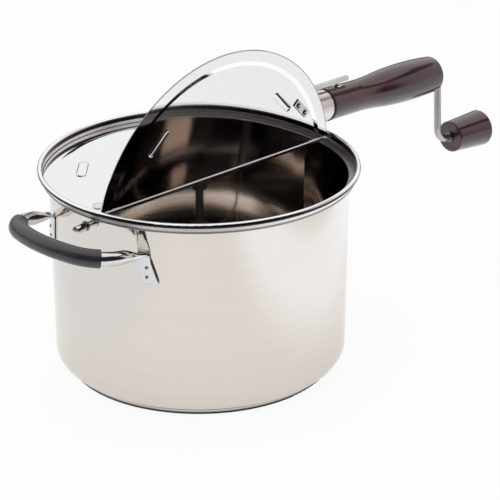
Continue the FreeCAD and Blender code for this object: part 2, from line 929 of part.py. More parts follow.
# Backing strip under the flap, which spreads the load of the two lever rivets.
backing = new_body("lever_backing")
BACKING_TOP = f"{flap_top} - lid_thick"
BACKING_LOW = f"{BACKING_TOP} - backing_thick"
backing_outline = new_sketch(backing, "XY_Plane", BACKING_LOW)
slanted_strip(backing_outline, "backing_length", "backing_wide")
for x, y in LEVER_RIVETS:
    draw_circle(backing_outline, x, y, "rivet_shank + rivet_slip")
pad(backing, backing_outline, "backing_thick", both=False)
on_flap(backing)


def rivet(label, seat, tail):
    """Round-headed rivet: its head sits at one height and its shank ends at a lower one."""
    return turned_piece(
        label,
        [
            ("0", tail),
            ("rivet_shank", tail),
            ("rivet_shank", seat),
            ("rivet_radius", seat, "1.2 * rivet_radius", 1),
            ("0.3 * rivet_radius", f"{seat} + rivet_rise"),
            ("0", f"{seat} + rivet_rise"),
        ],
    )


# Rivets of the lever, with a round head under the flap and a flat one on the strip above.
FOOT_TOP = f"{flap_top} + lever_sheet"
for number, (x, y) in enumerate(LEVER_RIVETS, start=1):
    piece = turned_piece(
        f"lever_rivet_{number}",
        [
            ("0", f"{BACKING_LOW} - rivet_rise"),
            ("0.3 * rivet_radius", f"{BACKING_LOW} - rivet_rise", "1.2 * rivet_radius", 1),
            ("rivet_radius", BACKING_LOW),
            ("rivet_shank", BACKING_LOW),
            ("rivet_shank", FOOT_TOP),
            ("0.8 * rivet_radius", FOOT_TOP),
            ("0.8 * rivet_radius", f"{FOOT_TOP} + rivet_rise / 2"),
            ("0", f"{FOOT_TOP} + rivet_rise / 2"),
        ],
    )
    place(
        piece,
        x,
        f"({y}) * cos(open_angle * 1 deg) - hinge_back",
        f"hinge_height - ({y}) * sin(open_angle * 1 deg)",
        (1, 0, 0),
        "-open_angle",
    )

# Bridge: a strap bent up at both ends, riveted on the lid, that carries the shaft and the handle.
bridge = new_body("bridge")


def upright(station, height):
    """Place along X, at a height, on the plane square to the handle axis at a station."""
    at_axis = f"({station}) / cos(handle_tilt * 1 deg)"
    return f"{at_axis} + ({height} - handle_height) * tan(handle_tilt * 1 deg)"


NEAR_IN = "bridge_near + bridge_sheet"
FAR = "bridge_far + bridge_sheet"
STRAP_TOP = "lid_top + bridge_sheet"
strap = draw(
    new_sketch(bridge, "XZ_Plane"),
    [
        (upright("bridge_near", "lid_top"), "lid_top"),
        (upright(FAR, "lid_top"), "lid_top"),
        (upright(FAR, "bridge_top"), "bridge_top"),
        (upright("bridge_far", "bridge_top"), "bridge_top"),
        (upright("bridge_far", f"({STRAP_TOP})"), STRAP_TOP),
        (upright(NEAR_IN, f"({STRAP_TOP})"), STRAP_TOP),
        (upright(NEAR_IN, "bridge_top"), "bridge_top"),
        (upright("bridge_near", "bridge_top"), "bridge_top"),
    ],
)
pad(bridge, strap, "bridge_wide")
for station in ("bridge_near", "bridge_far"):
    middle = f"({station} + bridge_sheet / 2)"
    bearing = new_sketch(bridge, "YZ_Plane", f"{middle} * cos(handle_tilt * 1 deg)")
    axis_z = f"handle_height - {middle} * sin(handle_tilt * 1 deg)"
    cut(bridge, draw_circle(bearing, "0", axis_z, "core_radius + bearing_gap"), "6 * bridge_sheet")
bridge_holes = new_sketch(bridge, "XY_Plane", "lid_top")
for x, y in RIVET_PLACES:
    draw_circle(bridge_holes, x, y, "rivet_shank + rivet_slip")
cut(bridge, bridge_holes, "6 * bridge_sheet")
for number, (x, y) in enumerate(RIVET_PLACES, start=1):
    place(rivet(f"bridge_rivet_{number}", "lid_top + bridge_sheet", "lid_top - lid_thick"), x, y)


def along_handle(item, swing="0", drop="0"):
    """Puts a piece on the drooping handle axis, or on a line dropped from it by the crank."""
    lean = value("handle_tilt")
    turn = value(swing)
    tilt = FreeCAD.Rotation(FreeCAD.Vector(0, 1, 0), lean)
    swung = FreeCAD.Rotation(FreeCAD.Vector(1, 0, 0), -turn)
    item.Placement = FreeCAD.Placement(FreeCAD.Vector(), tilt.multiply(swung))
    down = f"({drop}) * cos(({swing}) * 1 deg)"
    item.setExpression("Placement.Base.x", ref(f"-{down} * sin(handle_tilt * 1 deg)"))
    item.setExpression("Placement.Base.y", ref(f"-({drop}) * sin(({swing}) * 1 deg)"))
    item.setExpression(
        "Placement.Base.z", ref(f"handle_height - {down} * cos(handle_tilt * 1 deg)")
    )
    return item


# Handle: a core tube through the bridge, a steel ferrule and the turned wooden grip.
along_handle(
    ring(
        "handle_core",
        "core_bore",
        "core_radius",
        "bridge_far - core_proud",
        "wood_end - core_short",
        "H_Axis",
    )
)
ferrule = turned_piece(
    "ferrule",
    [
        ("ferrule_near", "core_radius + slip_gap"),
        ("ferrule_near", "ferrule_radius - ferrule_round", "ferrule_round", -1),
        ("ferrule_near + ferrule_round", "ferrule_radius"),
        ("ferrule_far", "ferrule_radius"),
        ("ferrule_far", "ferrule_radius - ferrule_wall"),
        ("ferrule_near + ferrule_round", "ferrule_radius - ferrule_wall"),
        ("ferrule_near + ferrule_round", "core_radius + slip_gap"),
    ],
    "H_Axis",
)
along_handle(ferrule)
TENON_RADIUS = "ferrule_radius - ferrule_wall - tenon_gap"
wood = turned_piece(
    "wood_handle",
    [
        ("tenon_near", "core_radius + slip_gap"),
        ("tenon_near", TENON_RADIUS),
        ("ferrule_far + tenon_gap", TENON_RADIUS),
        ("ferrule_far + tenon_gap", "wood_start"),
        ("neck_place", "neck_radius", "neck_curve", 1),
        ("flank_place", "flank_radius", "crown_curve", -1),
        ("wood_near_end", "wood_shoulder", "nose_round", -1),
        ("wood_end", "wood_nose"),
        ("wood_end", "core_radius + slip_gap"),
    ],
    "H_Axis",
)
ABOVE_WOOD = "wood_start + screw_clear"
for radius, depth in (("screw_radius", "0"), ("screw_shank", "screw_length")):
    screw_hole = new_sketch(wood, "XY_Plane", ABOVE_WOOD)
    draw_circle(screw_hole, "screw_place", "0", f"{radius} + slip_gap")
    cut(wood, screw_hole, f"2 * ({ABOVE_WOOD} - screw_seat + {depth} + seat_gap)")
along_handle(wood)
screw = turned_piece(
    "handle_screw",
    [
        ("0", "screw_seat - screw_length"),
        ("screw_shank", "screw_seat - screw_length"),
        ("screw_shank", "screw_seat"),
        ("screw_radius", "screw_seat"),
        ("screw_radius", "screw_top - screw_round", "screw_round", 1),
        ("screw_radius - screw_round", "screw_top"),
        ("0", "screw_top"),
    ],
)
place(
    screw,
    "screw_place * cos(handle_tilt * 1 deg)",
    "0",
    "handle_height - screw_place * sin(handle_tilt * 1 deg)",
    (0, 1, 0),
    "handle_tilt",
)

# Three flanged bushes for the crank shaft: at the gear, at the bridge and at the handle's end.
BUSH_BORE = "shaft_radius + run_gap"


def shaft_bush(label, flange_from, flange_to, neck_from, neck_to, neck):
    """Flanged bush on the shaft's axis; neck and flange share one bore."""
    low_first = value(flange_from) < value(neck_from)
    if low_first:
        corners = [
            (flange_from, BUSH_BORE),
            (neck_to, BUSH_BORE),
            (neck_to, neck),
            (neck_from, neck),
            (neck_from, "core_radius + flange_over"),
            (flange_from, "core_radius + flange_over"),
        ]
    else:
        corners = [
            (neck_from, BUSH_BORE),
            (flange_to, BUSH_BORE),
            (flange_to, "core_radius + flange_over"),
            (neck_to, "core_radius + flange_over"),
            (neck_to, neck),
            (neck_from, neck),
        ]
    return along_handle(turned_piece(label, corners, "H_Axis"))


shaft_bush(
    "bush_gear",
    "bridge_near - flange_bush",
    "bridge_near",
    "bridge_near",
    "bridge_near + bridge_sheet + bush_tail",
    "core_radius",
)
shaft_bush(
    "bush_bridge",
    "bridge_far - core_proud - flange_bush",
    "bridge_far - core_proud",
    "bridge_far - core_proud",
    "bridge_far - core_proud + bush_deep",
    "core_bore - press_gap",
)
shaft_bush(
    "bush_end",
    "wood_end",
    "wood_end + flange_bush",
    "wood_end - bush_deep",
    "wood_end",
    "core_bore - press_gap",
)

# Crank: one rod from the gear through the handle, bent down and out again to carry the knob.
crank = new_body("crank_rod")
crank_path = draw(
    new_sketch(crank, "XZ_Plane"),
    [
        ("shaft_start", "0"),
        ("crank_out - crank_bend", "0", "crank_bend", -1),
        ("crank_out", "-crank_bend"),
        ("crank_out", "crank_curve - crank_throw", "crank_curve", 1),
        ("crank_out + crank_curve", "-crank_throw"),
        ("knob_far + washer_gap + clip_thick + rod_tail", "-crank_throw"),
    ],
    closed=False,
)
sweep(
    crank,
    crank_path,
    draw_circle(new_sketch(crank, "YZ_Plane", "shaft_start"), "0", "0", "shaft_radius"),
)
along_handle(crank, "crank_swing")
ROD_SEAT = "shaft_radius + press_gap"
along_handle(
    ring("crank_clip", ROD_SEAT, "clip_radius", "gear_face - clip_thick", "gear_face", "H_Axis")
)
along_handle(
    ring(
        "gear_spacer",
        ROD_SEAT,
        "clip_radius",
        "gear_back + seat_gap",
        "bridge_near - flange_bush - washer_gap",
        "H_Axis",
    )
)
along_handle(
    ring(
        "crank_collar",
        ROD_SEAT,
        "clip_radius",
        "wood_end + flange_bush + collar_gap",
        "crank_out - crank_bend",
        "H_Axis",
    )
)


def on_knob_axis(item):
    return along_handle(item, "crank_swing", "crank_throw")


on_knob_axis(
    ring(
        "knob_washer",
        ROD_SEAT,
        "washer_radius",
        "knob_near - washer_gap - clip_thick",
        "knob_near - washer_gap",
        "H_Axis",
    )
)
knob = turned_piece(
    "crank_knob",
    [
        ("knob_near", "shaft_radius + run_gap"),
        ("knob_near", "knob_small - knob_round", "knob_round", -1),
        ("knob_near + knob_round", "knob_small"),
        ("knob_far - 2 * knob_round", "knob_large", "2 * knob_round", -1),
        ("knob_far", "knob_large - 2 * knob_round"),
        ("knob_far", "shaft_radius + run_gap"),
    ],
    "H_Axis",
)
on_knob_axis(knob)
on_knob_axis(
    ring(
        "knob_cap",
        ROD_SEAT,
        "cap_radius",
        "knob_far + washer_gap",
        "knob_far + washer_gap + clip_thick",
        "H_Axis",
    )
)


def bevel_gear(label):
    """Straight bevel gear below its apex: a turned blank with blade teeth round its cone."""
    gear = new_body(label)
    root_in = "gear_inner - gear_root"
    root_out = "gear_pitch - gear_root"
    revolve(
        gear,
        draw(
            new_sketch(gear, "XZ_Plane"),
            [
                (ROD_SEAT, "-gear_back"),
                (root_out, "-gear_back"),
                (root_out, "-gear_pitch - gear_root"),
                (root_in, "-gear_inner - gear_root"),
                (ROD_SEAT, "-gear_inner - gear_root"),
            ],
        ),
    )
    blade = draw(
        new_sketch(gear, "XZ_Plane"),
        [
            (f"{root_in} - tooth_sink", "-gear_inner - gear_root - tooth_sink"),
            (f"{root_out} - tooth_sink", "-gear_pitch - gear_root - tooth_sink"),
            ("gear_pitch + gear_tip", "gear_tip - gear_pitch"),
            ("gear_inner + gear_tip", "gear_tip - gear_inner"),
        ],
    )
    tooth = pad(gear, blade, "tooth_thick")
    around = gear.newObject("PartDesign::PolarPattern", "Teeth")
    around.Originals = [tooth]
    around.Axis = (blade, ["V_Axis"])
    around.Angle = 360
    around.setExpression("Occurrences", ref("tooth_count"))
    gear.Tip = around
    doc.recompute()
    return gear


place(
    bevel_gear("drive_gear"), z="handle_height", axis=(0, 1, 0), angle="handle_tilt - 90"
)
place(bevel_gear("stirrer_gear"), z="handle_height", angle="180 / tooth_count")

# Stirrer: a shaft that runs in a bush in the lid, with a hub and two wires over the floor.
turned_piece(
    "stirrer_bush",
    [
        (BUSH_BORE, "bush_low"),
        ("bush_neck", "bush_low"),
        ("bush_neck", "lid_top"),
        ("bush_radius", "lid_top"),
        ("bush_radius", "lid_top + flange_bush"),
        (BUSH_BORE, "lid_top + flange_bush"),
    ],
)
keep(
    rod(
        "StirrerShaft",
        "shaft_radius",
        "handle_height - shaft_start - stirrer_foot",
        z="stirrer_foot",
    ),
    "stirrer_shaft",
)
ring(
    "stirrer_washer",
    ROD_SEAT,
    "bush_radius",
    "lid_top + flange_bush + washer_gap",
    "handle_height - gear_back - seat_gap",
)
ring(
    "stirrer_clip",
    ROD_SEAT,
    "clip_radius",
    "handle_height - gear_face",
    "handle_height - gear_face + clip_thick",
)
ring(
    "stirrer_collar",
    ROD_SEAT,
    "collar_radius",
    "bush_low - washer_gap - collar_high",
    "bush_low - washer_gap",
)
turned_piece(
    "stirrer_hub",
    [
        ("0", "hub_low"),
        ("hub_radius - hub_round", "hub_low", "hub_round", 1),
        ("hub_radius", "hub_low + hub_round"),
        ("hub_radius", "hub_top"),
        (ROD_SEAT, "hub_top"),
        (ROD_SEAT, "stirrer_foot - press_gap"),
        ("0", "stirrer_foot - press_gap"),
    ],
)
for name, turn in (("a", "0"), ("b", "180")):
    wire = new_body(f"stir_wire_{name}")
    wire_path = draw(
        new_sketch(wire, "XZ_Plane"),
        [
            ("hub_radius + press_gap", "wire_height"),
            ("wire_reach - wire_bend", "wire_height", "wire_bend", 1),
            ("wire_reach", "wire_height + wire_bend"),
            ("wire_reach", "wire_height + wire_rise"),
        ],
        closed=False,
    )
    wire_end = draw_circle(
        new_sketch(wire, "YZ_Plane", "hub_radius + press_gap"), "0", "wire_height", "wire_radius"
    )
    sweep(wire, wire_path, wire_end)
    place(wire, angle=turn)

# Lid lock: a pin that slides through a bush in the far wall into a catch under the lid.
lock_bush = turned_piece(
    "lock_bush",
    [
        ("-wall_top - lock_flange_thick - lock_seat", "lock_radius + run_gap"),
        ("-wall_top - lock_flange_thick - lock_seat", "lock_flange"),
        ("-wall_top - lock_seat", "lock_flange"),
        ("-wall_top - lock_seat", "lock_neck"),
        ("lock_inset - wall_top", "lock_neck"),
        ("lock_inset - wall_top", "lock_radius + run_gap"),
    ],
    "H_Axis",
)
place(lock_bush, z="lock_height", angle="lock_swing")
pin = new_body("lock_pin")
BEND_OUT = "(lock_bend_at + lock_bend * sin(lock_tilt * 1 deg))"
BEND_LOW = "lock_bend * (1 - cos(lock_tilt * 1 deg))"
pin_path = draw(
    new_sketch(pin, "XZ_Plane"),
    [
        ("-lock_inner", "0"),
        ("-lock_bend_at", "0", "lock_bend", 1),
        (f"-{BEND_OUT}", f"-{BEND_LOW}"),
        (
            f"-{BEND_OUT} - lock_tail * cos(lock_tilt * 1 deg)",
            f"-{BEND_LOW} - lock_tail * sin(lock_tilt * 1 deg)",
        ),
    ],
    closed=False,
)
sweep(
    pin,
    pin_path,
    draw_circle(new_sketch(pin, "YZ_Plane", "-lock_inner"), "0", "0", "lock_radius"),
)
place(pin, z="lock_height", angle="lock_swing")
pin_grip = ring(
    "lock_grip", "lock_radius + press_gap", "grip_radius", "-lock_tail", "-grip_start", "H_Axis"
)
swing = FreeCAD.Rotation(FreeCAD.Vector(0, 0, 1), value("lock_swing"))
bent = FreeCAD.Rotation(FreeCAD.Vector(0, 1, 0), -value("lock_tilt"))
pin_grip.Placement = FreeCAD.Placement(FreeCAD.Vector(), swing.multiply(bent))
pin_grip.setExpression("Placement.Base.x", ref(f"-{BEND_OUT} * cos(lock_swing * 1 deg)"))
pin_grip.setExpression("Placement.Base.y", ref(f"-{BEND_OUT} * sin(lock_swing * 1 deg)"))
pin_grip.setExpression("Placement.Base.z", ref(f"lock_height - {BEND_LOW}"))
lock_ring = new_body("lock_ring")
revolve(
    lock_ring,
    draw_circle(
        new_sketch(lock_ring, "XZ_Plane"),
        "-ring_place",
        "lock_radius + ring_wire + press_gap",
        "ring_wire",
    ),
    "H_Axis",
)
place(lock_ring, z="lock_height", angle="lock_swing")
catch = new_body("lock_catch")
CATCH_TOP = "lid_low + emboss_rise"
catch_outline = draw(
    new_sketch(catch, "XZ_Plane", "catch_side"),
    [
        ("-catch_near", CATCH_TOP),
        ("-catch_far", CATCH_TOP),
        ("-catch_far", "catch_low"),
        ("catch_sheet - catch_far", "catch_low"),
        ("catch_sheet - catch_far", f"{CATCH_TOP} - catch_sheet"),
        ("-catch_near", f"{CATCH_TOP} - catch_sheet"),
    ],
)
pad(catch, catch_outline, "catch_wide")
cut(
    catch,
    draw_circle(
        new_sketch(catch, "YZ_Plane", "-catch_far"),
        "-catch_far * tan(lock_swing * 1 deg)",
        "lock_height",
        "catch_hole",
    ),
    "6 * catch_sheet",
)
cut(
    catch,
    draw_circle(
        new_sketch(catch, "XY_Plane", CATCH_TOP),
        "-button_place",
        "-button_side",
        "button_stem + rivet_slip",
    ),
    "6 * catch_sheet",
)
button = turned_piece(
    "lid_button",
    [
        ("0", f"{CATCH_TOP} - catch_sheet"),
        ("button_stem", f"{CATCH_TOP} - catch_sheet"),
        ("button_stem", "lid_top"),
        ("button_radius", "lid_top"),
        ("button_radius", "lid_top + button_edge", "1.3 * button_radius", 1),
        ("0.25 * button_radius", "lid_top + button_rise"),
        ("0", "lid_top + button_rise"),
    ],
)
place(button, "-button_place", "-button_side")

doc.recompute()
faults = []
for item in doc.Objects:
    if any(word in item.State for word in ("Invalid", "Error")):
        faults.append(f"{item.Name} {item.Label} {item.State}")
for item in pieces:
    if item.Shape.isNull() or not item.Shape.isValid():
        faults.append(f"{item.Label} has no valid shape")
if faults:
    raise RuntimeError("; ".join(faults))
for item in pieces:
    item.Shape.exportStep(f"parts/{item.Label}.step")
    box_now = item.Shape.BoundBox
    print(item.Label, len(item.Shape.Solids), round(item.Shape.Volume, 1), box_now)
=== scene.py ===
import math

import bmesh
import bpy
from mathutils import Matrix, Vector


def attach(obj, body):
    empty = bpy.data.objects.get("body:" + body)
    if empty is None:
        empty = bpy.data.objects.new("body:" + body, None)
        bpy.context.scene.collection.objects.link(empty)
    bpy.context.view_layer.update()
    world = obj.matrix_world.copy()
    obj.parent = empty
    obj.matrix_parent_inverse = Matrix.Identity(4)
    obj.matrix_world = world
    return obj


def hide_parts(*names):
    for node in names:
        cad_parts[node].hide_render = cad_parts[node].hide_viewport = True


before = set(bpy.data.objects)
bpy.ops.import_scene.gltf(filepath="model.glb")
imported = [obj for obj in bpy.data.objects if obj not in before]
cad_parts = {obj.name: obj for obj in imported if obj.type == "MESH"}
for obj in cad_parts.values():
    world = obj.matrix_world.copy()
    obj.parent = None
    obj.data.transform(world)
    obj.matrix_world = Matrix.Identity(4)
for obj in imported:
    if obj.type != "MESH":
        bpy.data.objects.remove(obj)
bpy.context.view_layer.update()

# ---------------------------------------------------------------- studio
# The popper stands on a wide pale table in a white room. A long lens looks down on it from
# the front left, and large soft lamps hang above it. Polished steel also sees the unlit side
# of the room, behind and above the camera.
CAMERA_PLACE = Vector((-1.17229, -1.28040, 0.84034))
CAMERA_LOOK = Vector((0.63492, 0.66296, -0.39668))
LENS_MM = 175.05
SENSOR_MM = 36.0
TO_CAMERA = (-0.692, -0.722)
TO_RIGHT = (0.722, -0.692)
WHITE = (1.0, 1.0, 1.0, 1.0)
ROOM_LIGHT = (0.52, 0.52, 0.5304, 1.0)
DARK_SIDE = (0.020, 0.019, 0.021, 1.0)
RIGHT_WALL_TONE = (0.80, 0.755, 0.775, 1.0)
HORIZON_TONE = (0.10, 0.095, 0.095, 1.0)
UNLIT_START = (0.05, 0.22)
CEILING_START = (0.74, 0.88)
HORIZON_TOP = (0.13, 0.22)
HORIZON_END = (0.40, 0.60)
RIGHT_WALL_START = (0.45, 0.62)
RIGHT_WALL_TOP = (0.56, 0.60)
RIGHT_GAP_FOOT = (0.55, 0.59)
RIGHT_GAP_TOP = (0.67, 0.71)

camera = bpy.data.objects.new("camera", bpy.data.cameras.new("camera"))
camera.data.lens = LENS_MM
camera.data.sensor_width = SENSOR_MM
camera.data.clip_end = 50.0
camera.location = CAMERA_PLACE
camera.rotation_euler = CAMERA_LOOK.to_track_quat("-Z", "Y").to_euler()
bpy.context.collection.objects.link(camera)
bpy.context.scene.camera = camera
bpy.context.scene.view_settings.view_transform = "Standard"


class Shade:
    """One socket of a node tree. Arithmetic on it adds Math nodes."""

    def __init__(self, tree, socket=None):
        self.tree = tree
        self.socket = socket

    def node(self, kind, settings=None, values=None, out=0):
        made = self.tree.nodes.new(kind)
        for key, value in (settings or {}).items():
            if key == "stops":
                ramp = made.color_ramp
                ends = (ramp.elements[0], ramp.elements[1])
                for end, (place, colour) in zip(ends, (value[0], value[-1])):
                    end.position = place
                    end.color = colour
                for place, colour in value[1:-1]:
                    ramp.elements.new(place).color = colour
            else:
                setattr(made, key, value)
        for key, value in (values or {}).items():
            if isinstance(value, Shade):
                self.tree.links.new(value.socket, made.inputs[key])
            else:
                made.inputs[key].default_value = value
        return Shade(self.tree, made.outputs[out] if made.outputs else None)

    def out(self, name):
        return Shade(self.tree, self.socket.node.outputs[name])

    def maths(self, operation, first, second):
        return self.node("ShaderNodeMath", {"operation": operation}, {0: first, 1: second})

    def __add__(self, other):
        return self.maths("ADD", self, other)

    def __radd__(self, other):
        return self.maths("ADD", other, self)

    def __rsub__(self, other):
        return self.maths("SUBTRACT", other, self)

    def __mul__(self, other):
        return self.maths("MULTIPLY", self, other)

    def ramp(self, low, high, start=0.0, end=1.0):
        sockets = {"Value": self, 1: low, 2: high, 3: start, 4: end}
        return self.node("ShaderNodeMapRange", {"interpolation_type": "SMOOTHSTEP"}, sockets)

    def mix(self, first, second):
        values = {0: self, 6: first, 7: second}
        return self.node("ShaderNodeMix", {"data_type": "RGBA"}, values, 2)


def where(shade, kind="Object"):
    """The x of each place, with its y and z as further outputs."""
    place = shade.node("ShaderNodeTexCoord", out=kind)
    return shade.node("ShaderNodeSeparateXYZ", {}, {0: place})


def toward(place, direction):
    """How far each place lies in a level direction."""
    return place * direction[0] + place.out("Y") * direction[1]


room = bpy.data.worlds.new("room")
bpy.context.scene.world = room
room.use_nodes = True
room.node_tree.nodes.clear()
sky = Shade(room.node_tree)
heading = where(sky, "Generated")
behind = toward(heading, TO_CAMERA)
aside = toward(heading, TO_RIGHT)
rise = heading.out("Z")
unlit = behind.ramp(*UNLIT_START) * (1.0 - rise.ramp(*CEILING_START))
horizon = (1.0 - rise.ramp(*HORIZON_TOP)) * (1.0 - aside.ramp(*HORIZON_END))
right_wall = aside.ramp(*RIGHT_WALL_START) * (1.0 - rise.ramp(*RIGHT_WALL_TOP))
right_gap = rise.ramp(*RIGHT_GAP_FOOT) * (1.0 - rise.ramp(*RIGHT_GAP_TOP))
right_gap = aside.ramp(*RIGHT_WALL_START) * right_gap
ray = sky.node("ShaderNodeLightPath", out="Is Camera Ray")
mirrored = right_wall.mix(WHITE, RIGHT_WALL_TONE)
mirrored = horizon.mix(mirrored, HORIZON_TONE)
mirrored = unlit.mix(mirrored, DARK_SIDE)
mirrored = right_gap.mix(mirrored, DARK_SIDE)
seen = ray.out("Is Glossy Ray").mix(ROOM_LIGHT, mirrored)
seen = ray.out("Is Transmission Ray").mix(seen, mirrored)
seen = ray.mix(seen, WHITE)
backdrop = sky.node("ShaderNodeBackground", {}, {"Color": seen, "Strength": 1.0})
sky.node("ShaderNodeOutputWorld", {}, {"Surface": backdrop})

LAMP_AIM = Vector((0.03, 0.0, 0.10))
for lamp_name, lamp_place, lamp_size, lamp_watts in (
    ("lamp_above", Vector((0.10, 0.25, 1.70)), 1.8, 12.0),
    ("lamp_left", Vector((-1.60, 0.10, 1.10)), 1.4, 6.0),
):
    lamp = bpy.data.objects.new(lamp_name, bpy.data.lights.new(lamp_name, "AREA"))
    lamp.data.shape = "DISK"
    lamp.data.size = lamp_size
    lamp.data.energy = lamp_watts
    lamp.location = lamp_place
    lamp.rotation_euler = (LAMP_AIM - lamp_place).to_track_quat("-Z", "Y").to_euler()
    lamp.visible_glossy = False
    bpy.context.collection.objects.link(lamp)


def finish_tree(name):
    material = bpy.data.materials.new(name)
    material.use_nodes = True
    material.node_tree.nodes.clear()
    return material, Shade(material.node_tree)


def solid_from(name, bm):
    mesh = bpy.data.meshes.new(name)
    bmesh.ops.recalc_face_normals(bm, faces=bm.faces)
    bm.to_mesh(mesh)
    bm.free()
    for face in mesh.polygons:
        face.use_smooth = True
    made = bpy.data.objects.new(name, mesh)
    bpy.context.collection.objects.link(made)
    return made


# Seen only in reflections, the floor carries painted light: a painted bluish glow on the left,
# a painted brighter glow on the right, and the dark unlit room past TABLE_EDGE.
FLOOR_REACH = 6.0
FLOOR_DROP = 0.0004
FLOOR_TONE = (0.96, 0.96, 0.96, 1.0)
FLOOR_LEFT_GLOW = (0.87, 0.93, 0.98, 1.0)
FLOOR_RIGHT_GLOW = (1.12, 1.17, 1.23, 1.0)
LEFT_START = (-0.10, -0.26)
RIGHT_START = (0.12, 0.28)
RIGHT_END = (0.44, 0.36)
TABLE_EDGE = (0.50, 0.60)
SEEN_LIGHT = 0.92
MIRRORED_LIGHT = 0.62
MIRRORED_RIGHT = 0.30

floor_form = bmesh.new()
bmesh.ops.create_circle(floor_form, cap_ends=True, segments=96, radius=FLOOR_REACH)
floor = solid_from("floor", floor_form)
floor.location.z = -FLOOR_DROP
floor_paint, tone = finish_tree("floor_paint")
paper = tone.node("ShaderNodeBsdfDiffuse", {}, {"Color": FLOOR_TONE})
floor_ray = tone.node("ShaderNodeLightPath", out="Is Camera Ray")
mirror_ray = floor_ray.out("Is Glossy Ray")
spot = where(tone)
across = toward(spot, TO_RIGHT)
right_side = across.ramp(*RIGHT_START) * across.ramp(*RIGHT_END)
left_side = across.ramp(*LEFT_START)
sheen = (left_side * mirror_ray).mix(WHITE, FLOOR_LEFT_GLOW)
sheen = (right_side * mirror_ray).mix(sheen, FLOOR_RIGHT_GLOW)
lit = tone.node("ShaderNodeEmission", {}, {"Color": sheen, "Strength": 1.0})
mirror_light = mirror_ray * (MIRRORED_LIGHT + right_side * MIRRORED_RIGHT)
own_light = floor_ray * SEEN_LIGHT + mirror_light
paper = tone.node("ShaderNodeMixShader", {}, {0: own_light, 1: paper, 2: lit})
beyond = toward(spot, TO_CAMERA).ramp(*TABLE_EDGE) * mirror_ray
unlit_room = tone.node("ShaderNodeEmission", {}, {"Color": DARK_SIDE, "Strength": 1.0})
paper = tone.node("ShaderNodeMixShader", {}, {0: beyond, 1: paper, 2: unlit_room})
tone.node("ShaderNodeOutputMaterial", {}, {"Surface": paper})
floor.data.materials.append(floor_paint)

# ---------------------------------------------------------------- pot
# The pot is one deep drawing of stainless sheet with a rolled bead round its mouth and a
# ledge inside for the lid. It is polished and then brushed once round its axis, which
# leaves hair-fine level lines.
POT_TONE = (0.766, 0.705, 0.653)
POT_SHINE = 0.075
# The rim's bands are painted light: painted shade at the step, a painted reflection on the
# collar, a painted dark reflection under the bead and a painted highlight on the bead.
STEP_PAINTED_SHADE = (0.30, 0.28, 0.27, 1.0)
COLLAR_PAINTED_REFLECTION = (0.90, 0.86, 0.83, 1.0)
UNDER_BEAD_DARK_REFLECTION = (0.022, 0.020, 0.020, 1.0)
BEAD_PAINTED_HIGHLIGHT = (0.93, 0.92, 0.91, 1.0)
STEP_START = (0.1548, 0.1552)
COLLAR_START = (0.1563, 0.1569)
UNDER_BEAD_START = (0.1588, 0.1593)
BEAD_START = (0.1620, 0.1628)
SATIN_START = (0.1546, 0.1550)
SATIN_END = (0.1588, 0.1592)
COLLAR_HAZE = 0.28
BEAD_HAZE = 0.08
BUMP_DEPTH = 0.0002


def dress(material, *names):
    for name in names:
        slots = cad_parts[name].data.materials
        slots.clear()
        slots.append(material)


def grain(shade, scale, size=1.0, detail=3.0, rough=0.55):
    place = shade.node("ShaderNodeTexCoord", out="Object")
    stretched = shade.node("ShaderNodeMapping", {}, {"Vector": place, "Scale": scale})
    values = {"Vector": stretched, "Scale": size, "Detail": detail, "Roughness": rough}
    return shade.node("ShaderNodeTexNoise", {}, values)


def bumped(shade, height, strength):
    values = {"Height": height, "Strength": strength, "Distance": BUMP_DEPTH}
    return shade.node("ShaderNodeBump", {}, values)


def surface(shade, values):
    finish = shade.node("ShaderNodeBsdfPrincipled", {}, values)
    shade.node("ShaderNodeOutputMaterial", {}, {"Surface": finish})


def steel(
    name,
    tone_low,
    tone_high,
    shine,
    brush,
    spots,
    relief=0.05,
    pull=0.0,
    turn=0.0,
    tint=None,
    haze=None,
):
    """Stainless steel. Its polishing lines are stretched by brush and its clouds by spots;
    tint recolours it and haze dulls it in places."""
    material, shade = finish_tree(name)
    lines = grain(shade, brush, 1.0, 4.0, 0.6)
    cloud = grain(shade, spots, 1.0, 3.0, 0.5)
    body = (lines * 0.65 + cloud * 0.35).ramp(0.36, 0.64)
    colour = body.mix((*tone_low, 1.0), (*tone_high, 1.0))
    if tint:
        colour = tint(shade, colour)
    gloss = lines.ramp(0.3, 0.7, shine * 0.8, shine * 1.2)
    gloss = gloss + cloud.ramp(0.35, 0.7, 0.0, shine * 0.2)
    if haze:
        gloss = gloss + haze(shade)
    values = {
        "Base Color": colour,
        "Metallic": 1.0,
        "Roughness": gloss,
        "Anisotropic": pull,
        "Anisotropic Rotation": turn,
        "Normal": bumped(shade, lines, relief),
    }
    surface(shade, values)
    return material


def lift(colour, factor):
    return tuple(min(1.0, part * factor) for part in colour)


def rim_painted_light(shade, colour):
    """From below, all painted light: a grey painted shade line at the step, a pale painted
    reflection on the collar, a dark painted reflection under the bead and a painted highlight
    on the bead.
    """
    height = where(shade).out("Z")
    for start, band in (
        (STEP_START, STEP_PAINTED_SHADE),
        (COLLAR_START, COLLAR_PAINTED_REFLECTION),
        (UNDER_BEAD_START, UNDER_BEAD_DARK_REFLECTION),
        (BEAD_START, BEAD_PAINTED_HIGHLIGHT),
    ):
        colour = height.ramp(*start).mix(colour, band)
    return colour


def rim_haze(shade):
    """The collar is only satin, and the bead lies between satin and polish."""
    height = where(shade).out("Z")
    return height.ramp(*SATIN_START) * height.ramp(*SATIN_END, COLLAR_HAZE, BEAD_HAZE)


